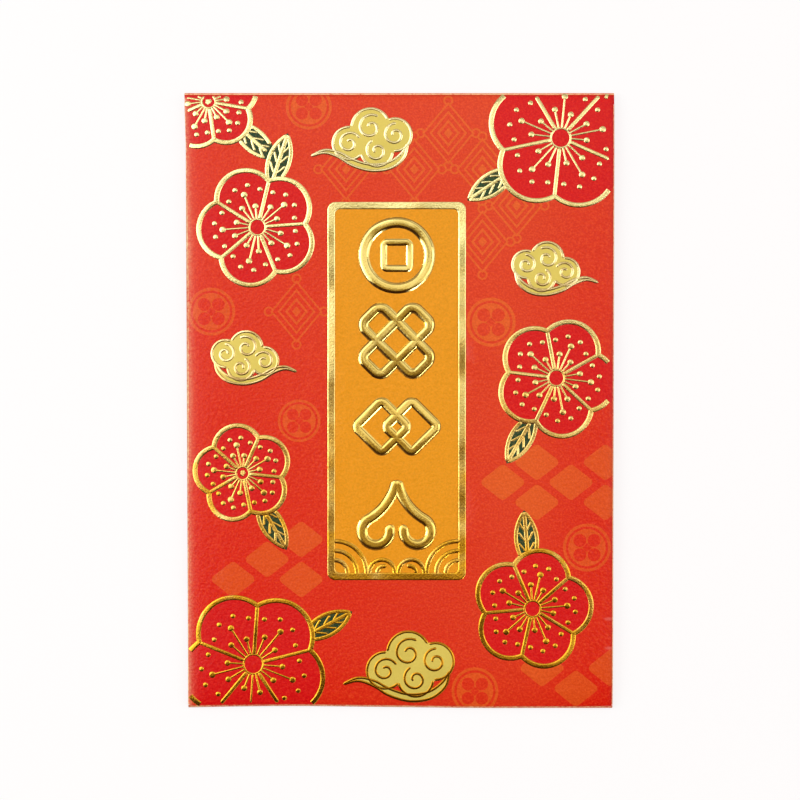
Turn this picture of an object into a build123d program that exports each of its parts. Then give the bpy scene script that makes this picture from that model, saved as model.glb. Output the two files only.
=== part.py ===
from build123d import *
from math import sqrt
import os

# A red gift envelope, folded and glued from one die-cut card sheet.
# It lies face up: +Y points to the mouth, +Z out of the printed front,
# and the origin is under its middle, on the surface it rests on.

# Envelope and card, in millimetres
envelope_width = 80.0
envelope_height = 115.5
card = 0.2                      # card thickness
glue = 0.05                     # glue film thickness
pocket_clearance = 0.25         # slack between the seam tab and the front

# Die-cut panels
edge_gap = 0.1                  # cut edges clear the folds beside them
shoulder = 0.3                  # roots of the flaps, in from the side edges
mouth_drop = 2.4                # mouth edge of the back below the top edge
seam_setback = 0.5              # cut edge of the back, in from the right edge
tab_width = 12.0
tab_taper = 4.0
seam_glue_inset = 2.0           # bare strip round the glue on the tab
bottom_flap_depth = 14.0
bottom_flap_taper = 6.0
bottom_flap_corner = 3.0
bottom_glue_inset = 3.5         # bare strip round the glue on the bottom flap
top_flap_depth = 28.0
top_flap_taper = 9.0
top_flap_corner = 8.0

# Stamped foil
foil = 0.06                     # height of flat foil lines
foil_line = 0.95                # width of an outline
foil_margin = 1.0               # bare border along the envelope's edges
knockout = 0.3                  # bare gap where one motif lies behind another

# Plaque in the middle of the front
plaque_width = 0.325 * envelope_width
plaque_height = 0.615 * envelope_height
plaque_corner = 1.5
plaque_border = 1.25
plaque_shift_x = -0.7           # plaque centre from the envelope's centre
plaque_shift_y = 1.6
plaque_relief = 0.12            # height of the frame and its waves

# Waves at the foot of the plaque, with shares of its window's half width
wave_line = 0.65
wave_arcs = 3
wave_radius_share = 0.502       # outermost corner arc
wave_step_share = 0.153         # from one corner arc to the next
curl_radius_share = 0.204
curl_pitch_share = 0.468

# Embossed emblems, one below the other on the plaque, with shares of an emblem's cell
emblem_count = 4
emblem_gap = 1.6
emblem_relief = 0.45            # height of the raised strokes
emblem_draft = 40               # degrees their sides lean in
stroke_share = 0.146
coin_gap_share = 0.045          # ring to the corners of the square rim
coin_rim_share = 0.097
knot_breadth_share = 0.514
knot_corner_share = 0.18
lozenge_height_share = 0.875
lozenge_stroke_share = 0.132
lozenge_spread_share = 0.194
scroll_radius_share = 0.18
scroll_spread_share = 0.27
scroll_start = 150              # degrees
scroll_sweep = 270

# Blossoms and leaves, drawn to the envelope's width or height, whichever is tighter
motif_unit = min(envelope_width, envelope_height / sqrt(2))
large_blossom = 0.175 * motif_unit      # radius
middle_blossom = 0.144 * motif_unit
small_blossom = 0.119 * motif_unit
petal_share = 0.52              # petal radius over blossom radius
petal_count = 5
petal_parting = 0.7             # width of the line between two petals
leaf_length = 0.138 * motif_unit
leaf_width = 0.058 * motif_unit
leaf_line = 0.65
leaf_rib = 0.4
leaf_overlap = 0.05 * motif_unit        # leaf's stalk end inside the blossom's outline
leaf_outline = (                # shares of the leaf's length and half width
    (0.0, 0.0),
    (0.2, 0.64),
    (0.5, 1.0),
    (0.8, 0.64),
    (1.0, 0.0),
)

# Clouds
large_cloud = 0.275 * motif_unit        # span
middle_cloud = 0.25 * motif_unit
small_cloud = 0.212 * motif_unit
cloud_relief = 0.1
cloud_lobes = (                 # x, y and radius for a cloud of unit span
    (-0.24, -0.05, 0.165),
    (-0.04, 0.10, 0.190),
    (0.19, 0.03, 0.165),
    (0.02, -0.12, 0.160),
)
cloud_tail = (                  # tip, outer sag, root and inner sag, likewise
    (-0.58, -0.12),
    (-0.16, -0.31),
    (0.30, -0.12),
    (-0.16, -0.21),
)

# Where the motifs lie, in half widths and half heights from the middle
blossoms = {                    # across, up, radius, turn, direction of the leaf
    "blossom_top_right": (0.75, 0.85, large_blossom, 12, 214),
    "blossom_upper_left": (-0.67, 0.56, middle_blossom, 40, 72),
    "blossom_top_left": (-0.89, 0.97, small_blossom, 25, 318),
    "blossom_right": (0.73, 0.07, middle_blossom, 65, 240),
    "blossom_left": (-0.74, -0.24, small_blossom, 30, 300),
    "blossom_bottom_left": (-0.69, -0.86, large_blossom, 50, 28),
    "blossom_bottom_right": (0.62, -0.68, middle_blossom, 5, 95),
}
clouds = {                      # across, up, span, tail to the right
    "cloud_top": (-0.12, 0.85, middle_cloud, False),
    "cloud_right": (0.67, 0.43, small_cloud, True),
    "cloud_left": (-0.74, 0.14, small_cloud, True),
    "cloud_bottom": (0.06, -0.86, large_cloud, False),
}

# Heights of the stack, from the resting surface up
back_bottom = card + glue
back_top = back_bottom + card
tab_bottom = back_top + glue
tab_top = tab_bottom + card
front_bottom = tab_top + pocket_clearance
front_top = front_bottom + card

# Outer radii of the rolled folds
left_radius = (front_top - back_bottom) / 2
right_radius = (front_top - tab_bottom) / 2
end_radius = front_top / 2

# Edges of the envelope and of its panels
left = -envelope_width / 2
right = envelope_width / 2
top = envelope_height / 2
bottom = -envelope_height / 2
top_score = top - end_radius
bottom_score = bottom + end_radius
left_score = left + left_radius
right_score = right - right_radius
back_foot = bottom_score + edge_gap
mouth = top - mouth_drop
flap_root = right - shoulder

# Plaque, its window and the column of emblem cells in it
plaque_centre = Pos(plaque_shift_x, plaque_shift_y)
plaque_outline = plaque_centre * RectangleRounded(plaque_width, plaque_height, plaque_corner)
window_half = plaque_width / 2 - plaque_border
window_top = plaque_shift_y + plaque_height / 2 - plaque_border
window_foot = plaque_shift_y - plaque_height / 2 + plaque_border
curl_radius = curl_radius_share * window_half
column_top = window_top - emblem_gap
column_foot = window_foot + curl_radius + wave_line / 2 + emblem_gap
emblem_pitch = (column_top - column_foot + emblem_gap) / emblem_count
emblem_cell = emblem_pitch - emblem_gap
emblem_stroke = stroke_share * emblem_cell


# Flat pieces

def strip(x0, x1, y0, y1):
    return Pos((x0 + x1) / 2, (y0 + y1) / 2) * Rectangle(x1 - x0, y1 - y0)


def plate(outline, low, height):
    return extrude(Pos(0, 0, low) * outline, amount=height, dir=(0, 0, 1))


def stamped(outline, height):
    return plate(outline, front_top, height)


def tapered_flap(root, tip, taper, corner):
    tip_half = flap_root - taper
    edge = Polyline((-flap_root, root), (flap_root, root), (tip_half, tip), (-tip_half, tip), close=True)
    outline = make_face(edge)
    tip_corners = outline.vertices().sort_by(lambda vertex: abs(vertex.Y - tip))[:2]
    return fillet(tip_corners, corner)


def front_panel():
    body = strip(left_score, right_score, bottom_score, mouth)
    brow = strip(-flap_root, flap_root, mouth, top_score)
    return plate(body + brow, front_bottom, card)


def back_panel():
    return plate(strip(left_score, right - seam_setback, back_foot, mouth), back_bottom, card)


def side_seam_tab():
    inner = right_score - tab_width
    outline = Polyline(
        (right_score, back_foot),
        (right_score, mouth),
        (inner, mouth - tab_taper),
        (inner, back_foot + tab_taper),
        close=True,
    )
    return plate(make_face(outline), tab_bottom, card)


def side_seam_glue():
    end_inset = tab_taper + seam_glue_inset
    film = strip(
        right_score - tab_width + seam_glue_inset,
        right_score - seam_glue_inset,
        back_foot + end_inset,
        mouth - end_inset,
    )
    return plate(film, back_top, glue)


def bottom_flap():
    tip = bottom_score + bottom_flap_depth
    return plate(tapered_flap(bottom_score, tip, bottom_flap_taper, bottom_flap_corner), 0, card)


def bottom_flap_glue():
    half = flap_root - bottom_flap_taper - bottom_glue_inset
    low = bottom_score + bottom_glue_inset
    high = bottom_score + bottom_flap_depth - bottom_glue_inset
    return plate(strip(-half, half, low, high), card, glue)


def top_flap():
    tip = top_score - top_flap_depth
    return plate(tapered_flap(top_score, tip, top_flap_taper, top_flap_corner), 0, card)


# Rolled folds: a band of card turned about the fold's centre line

def rolled_band(radius, start, sweep):
    return trace(CenterArc((0, 0), radius - card / 2, start, sweep), card)


def side_fold(x, low_face, radius, start):
    profile = Plane.XZ * rolled_band(radius, start, 180)
    return extrude(Pos(x, back_foot, low_face + radius) * profile, amount=mouth - back_foot, dir=(0, 1, 0))


def end_fold(y, start, sweep):
    profile = Plane.YZ * rolled_band(end_radius, start, sweep)
    return extrude(Pos(-flap_root, y, end_radius) * profile, amount=2 * flap_root, dir=(1, 0, 0))


# Plaque frame and its waves

def plaque_frame():
    window = strip(plaque_shift_x - window_half, plaque_shift_x + window_half, window_foot, window_top)
    return stamped(plaque_outline - window, plaque_relief)


def arc_line(x, y, radius, start, sweep):
    return Pos(x, y) * trace(CenterArc((0, 0), radius, start, sweep), wave_line)


def wave_corner(side):
    corner = plaque_shift_x + side * window_half
    start = 90 if side > 0 else 0
    shares = [wave_radius_share - step * wave_step_share for step in range(wave_arcs)]
    arcs = [arc_line(corner, window_foot, share * window_half, start, 90) for share in shares]
    return stamped(Sketch() + arcs, plaque_relief)


def wave_curls():
    half_pitch = curl_pitch_share * window_half / 2
    middles = [plaque_shift_x + side * half_pitch for side in (-1, 1)]
    curls = [arc_line(middle, window_foot, curl_radius, 0, 180) for middle in middles]
    return stamped(Sketch() + curls, plaque_relief)


# Embossed emblems, drawn about the middle of their cells

def coin():
    radius = emblem_cell / 2
    inside = radius - emblem_stroke
    rim_side = (inside - coin_gap_share * emblem_cell) * sqrt(2)
    hole = rim_side - 2 * coin_rim_share * emblem_cell
    return Circle(radius) - Circle(inside) + Rectangle(rim_side, rim_side) - Rectangle(hole, hole)


def knot():
    breadth = knot_breadth_share * emblem_cell
    corner = knot_corner_share * emblem_cell
    length = 2 * ((emblem_cell / 2 - corner) * sqrt(2) + 2 * corner) - breadth
    inside = Rectangle(length - 2 * emblem_stroke, breadth - 2 * emblem_stroke)
    loop = RectangleRounded(length, breadth, corner) - inside
    return Rot(0, 0, 45) * loop + Rot(0, 0, -45) * loop


def lozenges():
    side = lozenge_height_share * emblem_cell / sqrt(2)
    inside = side - 2 * lozenge_stroke_share * emblem_cell
    spread = lozenge_spread_share * emblem_cell
    loop = Rot(0, 0, 45) * (Rectangle(side, side) - Rectangle(inside, inside))
    return Pos(-spread, 0) * loop + Pos(spread, 0) * loop


def ruyi():
    reach = (emblem_cell - emblem_stroke) / 2
    radius = scroll_radius_share * emblem_cell
    scroll_centre = (scroll_spread_share * emblem_cell, radius - reach)
    scroll = CenterArc(scroll_centre, radius, scroll_start, scroll_sweep)
    brow = TangentArc(scroll @ 1, (0, reach), tangent=scroll % 1)
    far_half = [mirror(edge, Plane.YZ).edge() for edge in (brow, scroll)]
    outline = offset(Wire([scroll, brow] + far_half), emblem_stroke / 2, side=Side.BOTH)
    return make_face(outline.edges())


def embossed(drawing, row):
    y = column_top - emblem_cell / 2 - row * emblem_pitch
    foot = Pos(plaque_shift_x, y, front_top) * drawing
    return extrude(foot, amount=emblem_relief, dir=(0, 0, 1), taper=emblem_draft)


# Blossoms, leaves and clouds

def petal_discs(radius, turn, grow):
    petal = radius * petal_share
    spots = PolarLocations(radius - petal, petal_count, turn)
    return Sketch() + [spot * Circle(petal + grow) for spot in spots]


def leaf_blade(grow):
    length = leaf_length + 2 * grow
    half = leaf_width / 2 + grow
    upper = [(along * length - grow, out * half) for along, out in leaf_outline]
    lower = [(x, -y) for x, y in upper[-2:0:-1]]
    return make_face(Polyline(*upper, *lower, close=True))


def leaf_place(radius, direction):
    return Rot(0, 0, direction) * Pos(radius - leaf_overlap, 0)


def blossom(radius, turn, leaf_direction):
    body = petal_discs(radius, turn, 0)
    spots = PolarLocations(radius / 2, petal_count, turn + 180 / petal_count)
    partings = Sketch() + [spot * Rectangle(radius, petal_parting) for spot in spots]
    flower = body - petal_discs(radius, turn, -foil_line) + (partings & body)
    blade = leaf_blade(0)
    rib = Pos(leaf_length / 2, 0) * Rectangle(leaf_length, leaf_rib)
    leaf = blade - leaf_blade(-leaf_line) + (rib & blade)
    return flower + (leaf_place(radius, leaf_direction) * leaf - petal_discs(radius, turn, -foil_line / 2))


def blossom_area(radius, turn, leaf_direction):
    return petal_discs(radius, turn, knockout) + leaf_place(radius, leaf_direction) * leaf_blade(knockout)


def cloud(span, tail_right):
    puffs = Sketch() + [Pos(x * span, y * span) * Circle(r * span) for x, y, r in cloud_lobes]
    tip, sag, root, inside = ((x * span, y * span) for x, y in cloud_tail)
    tail = make_face([ThreePointArc(tip, sag, root), ThreePointArc(root, inside, tip)])
    area = puffs + tail
    return mirror(area, Plane.YZ) if tail_right else area


def stamped_motifs():
    pieces = {}
    field = strip(left + foil_margin, right - foil_margin, bottom + foil_margin, top - foil_margin)
    field -= offset(plaque_outline, knockout)
    for name, (across, up, *form) in blossoms.items():
        place = Pos(across * right, up * top)
        pieces[name] = stamped(place * blossom(*form) & field, foil)
        field -= place * blossom_area(*form)
    for name, (across, up, *form) in clouds.items():
        place = Pos(across * right, up * top)
        pieces[name] = stamped(place * cloud(*form) & field, cloud_relief)
    return pieces


nodes = {
    "front_panel": front_panel(),
    "left_fold": side_fold(left_score, back_bottom, left_radius, 90),
    "back_panel": back_panel(),
    "right_fold": side_fold(right_score, tab_bottom, right_radius, -90),
    "side_seam_tab": side_seam_tab(),
    "side_seam_glue": side_seam_glue(),
    "bottom_fold": end_fold(bottom_score, 90, 180),
    "bottom_flap": bottom_flap(),
    "bottom_flap_glue": bottom_flap_glue(),
    "top_fold": end_fold(top_score, 0, 90),
    "flap_fold": end_fold(top_score, -90, 90),
    "top_flap": top_flap(),
    "plaque_frame": plaque_frame(),
    "wave_left": wave_corner(-1),
    "wave_right": wave_corner(1),
    "wave_curls": wave_curls(),
    "emblem_coin": embossed(coin(), 0),
    "emblem_knot": embossed(knot(), 1),
    "emblem_lozenges": embossed(lozenges(), 2),
    "emblem_ruyi": embossed(ruyi(), 3),
}
nodes.update(stamped_motifs())

os.makedirs("parts", exist_ok=True)
for name, piece in nodes.items():
    export_step(piece, f"parts/{name}.step")
    print(name, "solids", len(piece.solids()), "volume", round(piece.volume, 3))
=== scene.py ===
import math

import bpy
import numpy as np
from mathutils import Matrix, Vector
from mathutils.geometry import delaunay_2d_cdt


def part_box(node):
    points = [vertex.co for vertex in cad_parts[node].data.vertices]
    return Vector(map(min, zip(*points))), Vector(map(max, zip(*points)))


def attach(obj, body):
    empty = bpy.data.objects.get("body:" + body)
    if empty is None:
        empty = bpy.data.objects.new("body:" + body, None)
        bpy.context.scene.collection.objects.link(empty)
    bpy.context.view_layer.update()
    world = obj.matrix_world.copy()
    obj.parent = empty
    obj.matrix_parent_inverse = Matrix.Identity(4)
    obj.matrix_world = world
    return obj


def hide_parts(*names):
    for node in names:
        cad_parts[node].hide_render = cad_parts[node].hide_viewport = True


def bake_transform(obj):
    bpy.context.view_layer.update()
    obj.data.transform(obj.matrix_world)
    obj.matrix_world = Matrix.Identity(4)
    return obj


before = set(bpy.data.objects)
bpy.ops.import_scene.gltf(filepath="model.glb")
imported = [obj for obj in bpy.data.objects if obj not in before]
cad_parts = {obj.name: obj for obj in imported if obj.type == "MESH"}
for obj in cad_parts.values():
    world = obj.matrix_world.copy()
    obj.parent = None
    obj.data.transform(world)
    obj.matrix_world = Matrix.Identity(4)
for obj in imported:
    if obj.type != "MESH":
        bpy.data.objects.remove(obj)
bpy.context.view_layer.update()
mm = 0.001
scene = bpy.context.scene
scene.view_settings.view_transform = "Standard"
print("frame loaded:", len(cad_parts), "nodes")


# a CAD node's box in millimetres
def boxOf(node):
    low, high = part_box(node)
    return np.array(low) / mm, np.array(high) / mm


# shader maths: one socket, with operators that add Math nodes
class Wire:
    def __init__(self, tree, socket=None):
        self.tree = tree
        self.socket = socket

    def node(self, kind, settings=None, inputs=None, output=0):
        made = self.tree.nodes.new(kind)
        for name, value in (settings or {}).items():
            if name == "stops":
                ramp = made.color_ramp
                while len(ramp.elements) < len(value):
                    ramp.elements.new(0.5)
                for element, (position, colour) in zip(ramp.elements, value):
                    element.position = position
                    element.color = colour
            else:
                setattr(made, name, value)
        for key, value in (inputs or {}).items():
            if isinstance(value, Wire):
                self.tree.links.new(value.socket, made.inputs[key])
            else:
                made.inputs[key].default_value = value
        return Wire(self.tree, made.outputs[output])

    def math(self, operation, *values, clamp=False):
        settings = {"operation": operation, "use_clamp": clamp}
        return self.node("ShaderNodeMath", settings, dict(enumerate(values)))

    def __add__(self, other):
        return self.math("ADD", self, other)

    def __radd__(self, other):
        return self.math("ADD", other, self)

    def __sub__(self, other):
        return self.math("SUBTRACT", self, other)

    def __rsub__(self, other):
        return self.math("SUBTRACT", other, self)

    def __mul__(self, other):
        return self.math("MULTIPLY", self, other)

    def __rmul__(self, other):
        return self.math("MULTIPLY", other, self)

    def clamped(self):
        return self.math("ADD", self, 0.0, clamp=True)

    def smooth(self, low, high):
        inputs = {"Value": self, "From Min": low, "From Max": high}
        return self.node("ShaderNodeMapRange", {"interpolation_type": "SMOOTHSTEP"}, inputs)

    def mix(self, first, second):
        inputs = {"Factor": self, 6: first, 7: second}  # 6 and 7 are the node's colours
        return self.node("ShaderNodeMix", {"data_type": "RGBA"}, inputs, 2)


# a screen colour as the linear value that a socket takes
def ink(*screen):
    linear = [((c / 255 + 0.055) / 1.055) ** 2.4 if c > 10 else c / 255 / 12.92 for c in screen]
    return (*linear, 1.0)


def newMaterial(name):
    material = bpy.data.materials.new(name)
    material.use_nodes = True
    tree = material.node_tree
    return material, Wire(tree), tree.nodes["Principled BSDF"]


def connect(wire, shader, socket):
    wire.tree.links.new(wire.socket, shader.inputs[socket])


def objectPoint(wire):
    return wire.node("ShaderNodeTexCoord", output=3)


# the X, Y and Z of a vector
def axesOf(wire, vector):
    apart = wire.node("ShaderNodeSeparateXYZ", inputs={0: vector})
    return [Wire(wire.tree, output) for output in apart.socket.node.outputs]


def noise(wire, point, scale, detail, roughness=0.5):
    inputs = {"Vector": point, "Scale": scale, "Detail": detail, "Roughness": roughness}
    return wire.node("ShaderNodeTexNoise", {"noise_dimensions": "3D"}, inputs)


def bump(wire, shader, height, strength=1.0, distance=1.0):
    inputs = {"Strength": strength, "Distance": distance, "Height": height}
    connect(wire.node("ShaderNodeBump", inputs=inputs), shader, "Normal")


# printed card, with painted light: the colour turns from a shaded ink at the left and foot to a lit ink
# towards the right and head, and back a little near the right edge; with fine paper grain, rubbed folds
# with painted highlights, and painted shade at the folds
printLook = {
    "driftAcross": 10.0,            # change of colour for each metre to the right
    "driftUp": 5.0,
    "driftMiddle": 0.6,
    "driftBack": (0.018, 0.04),     # metres right of the middle between which it turns back
    "driftBackShare": 0.65,
    "cloudy": (60, 3),              # noise scale and detail
    "cloudyShare": 0.3,
    "grain": (2900, 2),
    "grainDepth": 0.00003,
    "peel": (1500, 1),
    "peelDepth": 0.00009,
    "specks": 0.2,
    "fibres": 0.45,
    "fibreFrom": 0.47,              # grain above this is pale paper fibre that shows through the ink
    "fibreInk": ink(246, 150, 62),
    "roughness": 0.36,
    "glossSpread": 0.2,
    "specular": 0.27,
    "rubAndHighlightInk": ink(252, 216, 164),
    "rubShares": (1.2, 1.3, 1.1),   # how grain and peel add up to rubbed ink and painted highlight, and how much stays on
    # painted shade: how much darker the ink turns at the folds
    "creaseShade": 0.24,
    "paintedGlints": ((0.0391, -0.0412), (0.0392, -0.0467)),   # painted highlights of two small dents at the right edge
    "glintSize": (0.0013, 0.0005),
    "glintStrength": 0.24,
    "glintInk": ink(255, 168, 156),
}


def printedMaterial(name, shadedInk, litInk, roughness=printLook["roughness"], fibres=1.0):
    look = printLook
    material, wire, shader = newMaterial(name)
    point = objectPoint(wire)
    across, up, _ = axesOf(wire, point)
    # painted light: darker to the left and foot, lighter to the right and head, turning back darker near
    # the right edge
    drift = across * look["driftAcross"] + up * look["driftUp"] + look["driftMiddle"]
    drift = drift - across.smooth(*look["driftBack"]) * look["driftBackShare"]
    cloudy = noise(wire, point, *look["cloudy"])
    drift = (drift + (cloudy - 0.5) * look["cloudyShare"]).clamped()
    base = drift.mix(shadedInk, litInk)
    grain = noise(wire, point, *look["grain"])
    wear = wire.node("ShaderNodeAttribute", {"attribute_name": "wear"}, output=2)
    speck = (grain - 0.5) * (2 * look["specks"]) + 1.0
    speck = speck * (1.0 - (wear * -1.0).clamped() * look["creaseShade"])  # painted shade: values below 0 darken the ink at the folds
    shaded = wire.node("ShaderNodeVectorMath", {"operation": "SCALE"}, {0: base, "Scale": speck})
    fibre = ((grain - look["fibreFrom"]) * (look["fibres"] * fibres)).clamped()
    shaded = fibre.mix(shaded, look["fibreInk"])
    # painted highlights: pale spots where two small dents at the right edge would catch the light
    wide, high = look["glintSize"]
    for glintX, glintY in look["paintedGlints"]:
        gapX = (across - glintX) * (1 / wide)
        gapY = (up - glintY) * (1 / high)
        glint = (1.0 - gapX * gapX - gapY * gapY).clamped()
        shaded = (glint * glint * look["glintStrength"]).mix(shaded, look["glintInk"])
    peel = noise(wire, point, *look["peel"])
    grainShare, peelShare, staysOn = look["rubShares"]
    # paler ink on the folds: partly rubbed ink, partly painted highlight
    rubAndHighlight = (wear * (grain * grainShare + peel * peelShare + cloudy - staysOn)).clamped()
    connect(rubAndHighlight.mix(shaded, look["rubAndHighlightInk"]), shader, "Base Color")
    connect((grain - 0.5) * look["glossSpread"] + roughness, shader, "Roughness")
    bump(wire, shader, grain * look["grainDepth"] + peel * look["peelDepth"])
    shader.inputs["Specular IOR Level"].default_value = look["specular"]
    return material


# each print has a shaded and a lit ink for its painted light
groundPrint = printedMaterial("redGroundPrint", ink(228, 22, 5), ink(232, 68, 34))
tonePrint = printedMaterial("orangeTonePrint", ink(231, 74, 20), ink(238, 100, 38))
petalPrint = printedMaterial("deepRedPrint", ink(222, 6, 14), ink(226, 12, 20), 0.38, 0.5)
leafPrint = printedMaterial("darkGreenPrint", ink(22, 60, 36), ink(30, 70, 42), 0.38)
plaquePrint = printedMaterial("amberPrint", ink(242, 156, 8), ink(243, 161, 22), 0.45, 0.8)


# uncoated inside and cut edges of the card, and the dried glue between its layers
bareLook = {
    "flecks": (900, 5, 0.65),       # noise scale, detail and roughness
    "inks": (ink(240, 230, 212), ink(252, 247, 238)),
    "roughness": 0.7,
    "glossSpread": 0.2,
    "relief": (0.4, 0.00005),       # strength and depth
}
glueLook = {
    "flecks": (400, 3, 0.5),
    "inks": (ink(236, 232, 220), ink(246, 244, 236)),
    "roughness": 0.25,
    "glossSpread": 0.2,
    "relief": None,
}


def fleckedMaterial(name, look):
    material, wire, shader = newMaterial(name)
    fleck = noise(wire, objectPoint(wire), *look["flecks"])
    connect(fleck.mix(*look["inks"]), shader, "Base Color")
    connect(fleck * look["glossSpread"] + look["roughness"], shader, "Roughness")
    if look["relief"]:
        bump(wire, shader, fleck, *look["relief"])
    return material


bareCard = fleckedMaterial("bareCard", bareLook)
driedGlue = fleckedMaterial("driedGlue", glueLook)


# stamped foil: metal with the card's grain showing through, and a painted highlight that makes it paler
# towards the head
foilLook = {
    "grain": (2600, 3, 0.65),       # noise scale, detail and roughness
    "grainDepth": 0.00006,
    "mottle": (260, 3),
    "mottleTint": 1.2,
    "mottleGloss": 0.1,
    "headHighlight": 14.0,               # painted highlight: the foil is drawn paler towards the head
    "swell": (75, 1),
    "swellDepth": 0.0016,
}


def foilMaterial(name, paleGold, deepGold, roughness, grainStrength, metallic=1.0):
    look = foilLook
    material, wire, shader = newMaterial(name)
    point = objectPoint(wire)
    grain = noise(wire, point, *look["grain"])
    mottle = noise(wire, point, *look["mottle"])
    _, up, _ = axesOf(wire, point)
    # painted highlight towards the head, broken up by a random mottle
    highlightAndMottle = (up * look["headHighlight"] + 0.5 + (mottle - 0.5) * look["mottleTint"]).clamped()
    connect(highlightAndMottle.mix(deepGold, paleGold), shader, "Base Color")
    connect((mottle - 0.5) * look["mottleGloss"] + roughness, shader, "Roughness")
    swell = noise(wire, point, *look["swell"])
    bump(wire, shader, swell * look["swellDepth"] + grain * (look["grainDepth"] * grainStrength))
    shader.inputs["Metallic"].default_value = metallic
    return material


# each foil has a pale and a deep gold for its painted highlight towards the head and for its mottle
goldFoil = foilMaterial("goldFoil", ink(253, 241, 172), ink(228, 172, 48), 0.22, 0.9)
emblemFoil = foilMaterial("embossedGoldFoil", ink(250, 228, 142), ink(244, 206, 96), 0.12, 0.25)
cloudGold = foilMaterial("matteGold", ink(234, 214, 102), ink(230, 208, 94), 0.55, 0.5, 0.15)
scrollGold = foilMaterial("scrollFoil", ink(253, 240, 184), ink(196, 140, 34), 0.22, 0.5)
print("materials made")


# small irregularities of a real envelope, shared by every piece, in millimetres
lieOfCard = {
    "bow": 0.3,                     # the empty pocket stands up in the middle
    "bowHalf": (39.6, 57.1),
    "ripple": 0.06,
    "leftRoll": (39.7, 0.62, 2.4),  # the front's edge, its rise from there, and over what width
    "rightRoll": (39.8, 0.16, 1.2),
    "endRoll": (57.3, 0.14, 1.2),
    "rollFade": (57.75, 8),         # where the ends are, and over what width the side rolls fade there
    "flare": 0.73,                  # the left edge spreads towards the mouth
    "flareFrom": 24.0,
    "flareMost": 1.2,
    "flareBend": 1.6,
    "mouth": 57,
    "rightLean": 0.16,              # the right edge leans out towards the mouth
    "rightReach": 0.11,
    "sideBand": (15, 25),           # from where, and over what width, the sides and the foot move
    "footBand": (35, 22),
    "footWave": (0.2, 0.072),       # waviness of the foot, and its rate
    "footReach": 0.2,               # the foot bulges past its score
    "cornerReach": 0.12,            # and more towards its corners
    "frontBand": (0.5, 0.45),       # from what height, and over how much, the front takes up the bow
}


# 0 up to a start, then rising over a width
def ramped(value, start, width, most=1):
    return np.clip((value - start) / width, 0, most)


def rolled(gap, rise, width):
    return rise * (1 - np.exp(-np.clip(gap, 0, None) / width))


def settle(points):
    look = lieOfCard
    x, y, z = points.T.copy()
    leftness, rightness = (ramped(side, *look["sideBand"]) ** 2 for side in (-x, x))
    footness = ramped(-y, *look["footBand"]) ** 2
    mouth, flareFrom = look["mouth"], look["flareFrom"]
    opening = ramped(y, flareFrom, mouth - flareFrom, look["flareMost"]) ** look["flareBend"]
    lean = look["rightLean"] * np.clip(y / mouth, -1, 1) + look["rightReach"]
    sideways = lean * rightness - look["flare"] * opening * leftness
    reach = look["footReach"] + look["cornerReach"] * (leftness + rightness)
    wave, rate = look["footWave"]
    footwards = -(wave * np.sin(x * rate) + reach) * footness
    inX, inY = (np.clip(1 - (axis / half) ** 2, 0, 1) for axis, half in zip((x, y), look["bowHalf"]))
    # three crossing waves, with rates for each millimetre
    ripple = np.sin(x * 0.13 + y * 0.05) * np.sin(y * 0.11 - 0.6) + 0.6 * np.sin(x * 0.31 - y * 0.17)
    ripple = ripple + 0.5 * np.sin(x * 0.21 + y * 0.34 + 1.1)
    bow = look["bow"] * inX * inY + look["ripple"] * ripple * np.minimum(inX, inY) ** 0.5
    end, fade = look["rollFade"]
    ends = np.clip((end - np.abs(y)) / fade, 0, 1) ** 0.5
    for side, (edge, rise, width) in ((-x, look["leftRoll"]), (x, look["rightRoll"])):
        bow = bow + rolled(edge - side, rise, width) * ends
    edge, rise, width = look["endRoll"]
    bow = bow + rolled(edge - np.abs(y), rise, width) - rise
    return np.stack([x + sideways, y + footwards, z + bow * ramped(z, *look["frontBand"])], axis=1)


# turns millimetre points and faces into a piece at the origin
def makePiece(name, points, faces, materials, faceMaterials, sharpAngle=40):
    mesh = bpy.data.meshes.new(name)
    mesh.from_pydata((settle(points) * mm).tolist(), [], faces)
    for material in materials:
        mesh.materials.append(material)
    mesh.polygons.foreach_set("material_index", faceMaterials)
    mesh.shade_smooth()
    mesh.set_sharp_from_angle(angle=math.radians(sharpAngle))
    mesh.update()
    piece = bpy.data.objects.new(name, mesh)
    scene.collection.objects.link(piece)
    return piece


# points and directions on the flat sheet
def onCircle(x, y, radius, turn):
    return np.stack([x + radius * np.cos(turn), y + radius * np.sin(turn)], axis=1)


def circlePoints(x, y, radius, count, start=0.0):
    return onCircle(x, y, radius, start + np.arange(count) * 2 * math.pi / count)


def arcPoints(x, y, radius, start, end, step=0.25):
    count = max(int(abs(end - start) * radius / step), 6)
    return onCircle(x, y, radius, np.linspace(start, end, count + 1))


def ringPoints(x, y, radius, step=0.25):
    return arcPoints(x, y, radius, 0, 2 * math.pi, step)[:-1]


def heading(degrees):
    angle = math.radians(degrees)
    return np.array([math.cos(angle), math.sin(angle)])


def turned(points, degrees, x=0.0, y=0.0):
    c, s = heading(degrees)
    across, up = np.asarray(points, float).T
    return np.stack([x + c * across - s * up, y + s * across + c * up], axis=1)


def rectangle(x0, y0, x1, y1):
    return [(x0, y0), (x1, y0), (x1, y1), (x0, y1)]


def within(points, low, high):
    return ((points > low) & (points < high)).all(axis=1)


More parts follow.
